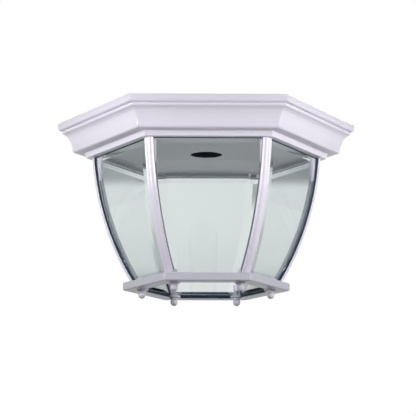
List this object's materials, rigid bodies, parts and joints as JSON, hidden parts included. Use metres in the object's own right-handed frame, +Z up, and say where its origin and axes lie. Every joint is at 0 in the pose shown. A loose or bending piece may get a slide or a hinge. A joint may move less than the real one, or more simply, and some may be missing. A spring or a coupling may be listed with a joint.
{
  "type": "outdoor ceiling light",
  "caption": "Hexagonal flush ceiling light for outdoors: cast canopy with moulded edge, curved ribs, bent bevelled glass panes and an open bottom ring held by ball nuts.",
  "frame": {"origin": "on the ceiling plane, midway between the two slots of the mounting strap", "axes": "+Z up into the ceiling; +X through a corner of the hexagon; the pictured side faces -Y"},
  "size_m": [0.286, 0.2476, 0.1691],
  "materials": {
    "white_paint": "satin",
    "white_steel": "satin",
    "clear_glass": "gloss",
    "dark_seal": "matte",
    "zinc_steel": "satin",
    "black_moulding": "satin",
    "brass": "satin",
    "green_steel": "satin"
  },
  "bodies": {
    "housing": {"canopy": "white_paint", "rib_1": "white_paint", "rib_2": "white_paint", "rib_3": "white_paint", "rib_4": "white_paint", "rib_5": "white_paint", "rib_6": "white_paint", "reflector_pan": "white_steel", "canopy_screws": "white_steel", "glass_1": "clear_glass", "glass_2": "clear_glass", "glass_3": "clear_glass", "glass_4": "clear_glass", "glass_5": "clear_glass", "glass_6": "clear_glass", "glass_seals": "dark_seal", "ceiling_gasket": "dark_seal", "mounting_strap": "zinc_steel", "lampholder_bracket": "zinc_steel", "rib_screws": "zinc_steel", "holder_screws": "zinc_steel", "ring_studs": "zinc_steel", "lampholder_base": "black_moulding", "lampholder_body": "black_moulding", "screw_shell": "brass", "centre_contact": "brass", "terminal_screws": "brass", "earth_screw": "green_steel"},
    "bottom_ring": {"bottom_ring": "white_paint"},
    "ball_nut_1": {"ball_nut_1": "white_paint"},
    "ball_nut_2": {"ball_nut_2": "white_paint"},
    "ball_nut_3": {"ball_nut_3": "white_paint"},
    "ball_nut_4": {"ball_nut_4": "white_paint"},
    "ball_nut_5": {"ball_nut_5": "white_paint"},
    "ball_nut_6": {"ball_nut_6": "white_paint"}
  },
  "joints": [
    {"name": "ring_drop", "type": "slide", "parent": "housing", "child": "bottom_ring", "axis": [0, 0, -1], "range_m": [0, 0.04]},
    {"name": "nut_1_off", "type": "slide", "parent": "bottom_ring", "child": "ball_nut_1", "axis": [0, 0, -1], "range_m": [0, 0.009]},
    {"name": "nut_2_off", "type": "slide", "parent": "bottom_ring", "child": "ball_nut_2", "axis": [0, 0, -1], "range_m": [0, 0.009]},
    {"name": "nut_3_off", "type": "slide", "parent": "bottom_ring", "child": "ball_nut_3", "axis": [0, 0, -1], "range_m": [0, 0.009]},
    {"name": "nut_4_off", "type": "slide", "parent": "bottom_ring", "child": "ball_nut_4", "axis": [0, 0, -1], "range_m": [0, 0.009]},
    {"name": "nut_5_off", "type": "slide", "parent": "bottom_ring", "child": "ball_nut_5", "axis": [0, 0, -1], "range_m": [0, 0.009]},
    {"name": "nut_6_off", "type": "slide", "parent": "bottom_ring", "child": "ball_nut_6", "axis": [0, 0, -1], "range_m": [0, 0.009]}
  ]
}
